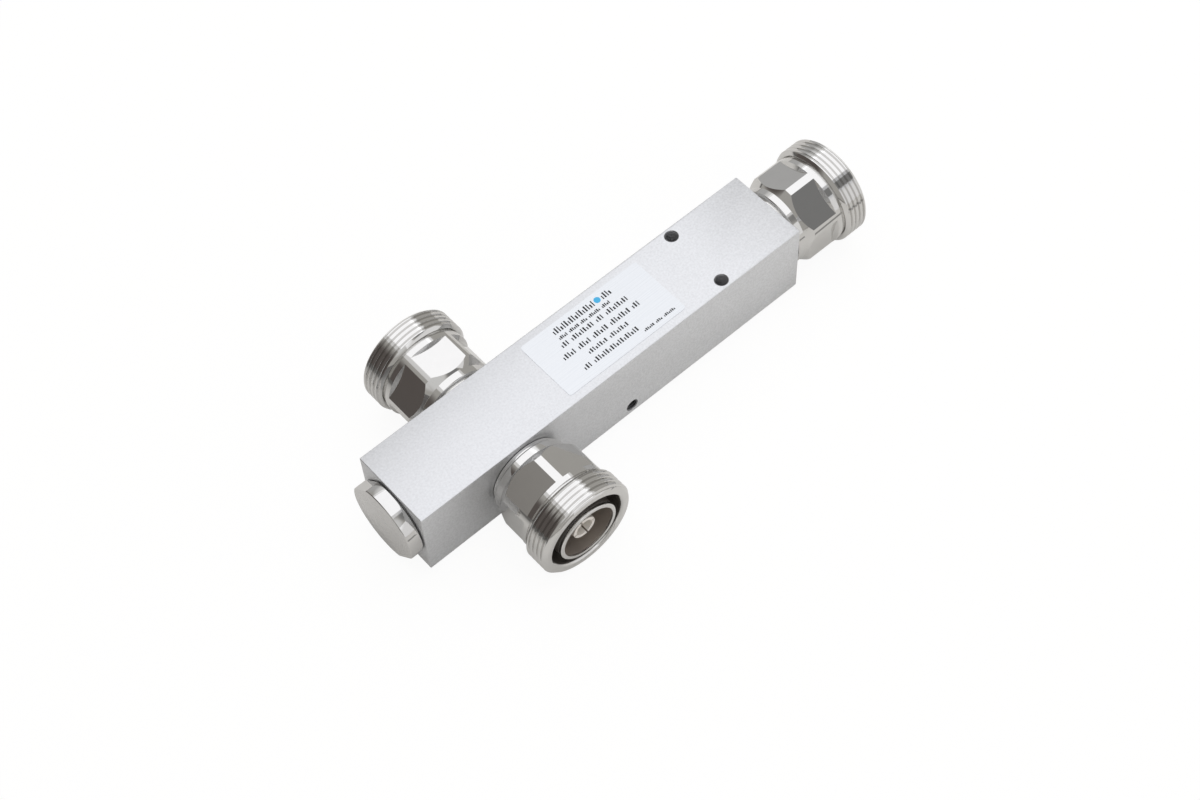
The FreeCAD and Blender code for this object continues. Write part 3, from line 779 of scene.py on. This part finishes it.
def pale_floor():
    finish, tree = new_finish("pale_floor")
    ray = add(tree, "ShaderNodeLightPath")
    glossy = add(tree, "ShaderNodeMath", {0: ray.outputs["Is Glossy Ray"], 1: WHITE_MIRRORED}, operation="MULTIPLY")
    direct = add(tree, "ShaderNodeMath", {0: ray.outputs["Is Camera Ray"], 1: WHITE_SEEN}, operation="MULTIPLY")
    share = add(tree, "ShaderNodeMath", {0: glossy.outputs[0], 1: direct.outputs[0]}, operation="ADD")
    spot = add(tree, "ShaderNodeTexCoord").outputs["Object"]
    away = add(tree, "ShaderNodeVectorMath", {0: spot, 1: AWAY}, operation="DOT_PRODUCT").outputs["Value"]
    fall = add(tree, "ShaderNodeMapRange", {0: away, 1: FALL_START, 2: FALL_END, 3: 1.0, 4: FALL_LEFT})
    split = add(tree, "ShaderNodeSeparateXYZ", {0: spot})
    strip = add(tree, "ShaderNodeMath", {0: split.outputs["Y"], 1: STRIP_Y, 2: STRIP_HALF}, operation="COMPARE")
    by_cap, by_input = [
        add(tree, "ShaderNodeMath", {0: split.outputs["X"], 1: middle, 2: half}, operation="COMPARE").outputs[0]
        for middle, half in (CAP_STRIP, INPUT_STRIP)
    ]
    beside = add(tree, "ShaderNodeMath", {0: by_cap, 1: by_input}, operation="ADD")
    dark = add(tree, "ShaderNodeMath", {0: strip.outputs[0], 1: beside.outputs[0]}, operation="MULTIPLY")
    lit = add(tree, "ShaderNodeMath", {
        0: dark.outputs[0], 1: STRIP_DARK, 2: fall.outputs[0],
    }, operation="MULTIPLY_ADD", use_clamp=True)
    gap = add(tree, "ShaderNodeVectorMath", {0: spot, 1: BY_CAP}, operation="DISTANCE").outputs["Value"]
    shade = add(tree, "ShaderNodeMapRange", {0: gap, 1: CAP_SHADE_START, 2: CAP_SHADE_END, 3: CAP_SHADE, 4: 1.0})
    mirrored = add(tree, "ShaderNodeMath", {0: lit.outputs[0], 1: shade.outputs[0]}, operation="MULTIPLY")
    # only glossy rays see the painted shade, the painted shadow and the painted strip
    seen = add(tree, "ShaderNodeMix", {
        0: ray.outputs["Is Glossy Ray"], 2: 1.0, 3: mirrored.outputs[0],
    }, data_type="FLOAT").outputs[0]
    pale = add(tree, "ShaderNodeVectorMath", {0: linear(FLOOR_COLOUR)[:3], 1: seen}, operation="MULTIPLY")
    paint = add(tree, "ShaderNodeBsdfDiffuse", {"Color": pale.outputs[0]})
    strength = add(tree, "ShaderNodeMath", {0: seen, 1: WHITE_STRENGTH}, operation="MULTIPLY")
    white = add(tree, "ShaderNodeEmission", {"Color": (1, 1, 1, 1), "Strength": strength.outputs[0]})
    both = add(tree, "ShaderNodeMixShader", {0: share.outputs[0], 1: paint.outputs[0], 2: white.outputs[0]})
    add(tree, "ShaderNodeOutputMaterial", {0: both.outputs[0]})
    return finish


clear_selection()
bpy.ops.mesh.primitive_circle_add(vertices=96, radius=3.0, fill_type="NGON", location=(0, 0, -0.02 * MM))
floor = bpy.context.object
floor.name = "floor"
floor.data.materials.append(pale_floor())
print("the floor is", round(floor.dimensions.x, 2), "m across")

# %% [markdown]
# The light is two wide soft panels overhead, one behind the other so that their edge is soft in the metal, a
# panel at the camera's right, and grey studio walls that get darker to the left. Metal shows all of this, so
# the walls are painted in the world's own nodes: each is a soft patch round a direction.

# %% Lamps
DAYLIGHT = (0.955, 0.972, 1.03)  # a little blue
LAMPS = (  # name, place, the point it faces, size and power
    ("overhead", (0.205, 0.19, 1.0), (0.205, 0.19, 0.0), (1.25, 1.34), 3.15),
    ("overhead_spread", (0.225, 0.19, 1.01), (0.225, 0.19, 0.0), (1.65, 1.68), 3.5),
    ("right_panel", (0.767, -1.407, 0.5), (0, 0, 0.5), (2.0, 1.1), 3.55),
)
for name, place, look_at, size, watts in LAMPS:
    lamp = bpy.data.lights.new(name, "AREA")
    lamp.shape = "RECTANGLE"
    lamp.size, lamp.size_y = size
    lamp.energy = watts
    lamp.color = DAYLIGHT
    holder = bpy.data.objects.new(name, lamp)
    bpy.context.scene.collection.objects.link(holder)
    holder.location = place
    holder.rotation_euler = (Vector(look_at) - Vector(place)).to_track_quat("-Z", "Y").to_euler()
    print(name, "radiance", round(watts / (math.pi * size[0] * size[1]), 2))

# %% The studio walls
WALL = "#B6B4B0"
PATCHES = (  # azimuth and elevation in degrees, cosine where the patch starts and where it is full, colour
    (62, 20, (0.90, 0.98), "#C0C0C0"),
    (58, 44, (0.93, 0.99), "#EEEEEE"),
    (52, 76, (0.82, 0.88), WALL),
    (-104, 38, (0.90, 0.97), "#E8E8E8"),
    (142, 14, (0.81, 0.95), "#625C59"),
    (-54, 43, (0.95, 0.99), "#898989"),
)


def studio_walls():
    world = bpy.data.worlds.new("studio")
    bpy.context.scene.world = world
    world.use_nodes = True
    tree = world.node_tree
    tree.nodes.clear()
    direction = add(tree, "ShaderNodeTexCoord").outputs["Generated"]
    tone = add(tree, "ShaderNodeRGB")
    tone.outputs[0].default_value = linear(WALL)
    colour = tone.outputs[0]
    for azimuth, elevation, (start, full), hex_colour in PATCHES:
        turn, rise = math.radians(azimuth), math.radians(elevation)
        towards = (math.cos(rise) * math.cos(turn), math.cos(rise) * math.sin(turn), math.sin(rise))
        dot = add(tree, "ShaderNodeVectorMath", {0: direction, 1: towards}, operation="DOT_PRODUCT").outputs["Value"]
        share = add(tree, "ShaderNodeMapRange", {0: dot, 1: start, 2: full}, interpolation_type="SMOOTHSTEP")
        tones = {0: share.outputs[0], 6: colour, 7: linear(hex_colour)}
        colour = add(tree, "ShaderNodeMix", tones, data_type="RGBA").outputs[2]
    glow = add(tree, "ShaderNodeBackground", {"Color": colour, "Strength": 1.0})
    add(tree, "ShaderNodeOutputWorld", {0: glow.outputs[0]})
    print("the walls have", len(PATCHES), "patches")


studio_walls()

# %% [markdown]
# The camera stands where the picture was taken from, worked out from the bar's corners and the jacks'
# circles: about 0.58 m away, high up, looking down along the bar from its cap end.

# %% The camera
eye = bpy.data.cameras.new("camera")
eye.sensor_width = 36.0
eye.lens = 65.031
camera = bpy.data.objects.new("camera", eye)
bpy.context.scene.collection.objects.link(camera)
camera.location = (-0.198944, -0.241874, 0.490236)
camera.rotation_euler = [math.radians(a) for a in (31.87747, 1.93323, -41.55443)]
bpy.context.scene.camera = camera
bpy.context.scene.view_settings.view_transform = "Standard"
print("camera at a distance of", round(camera.location.length, 2), "m")
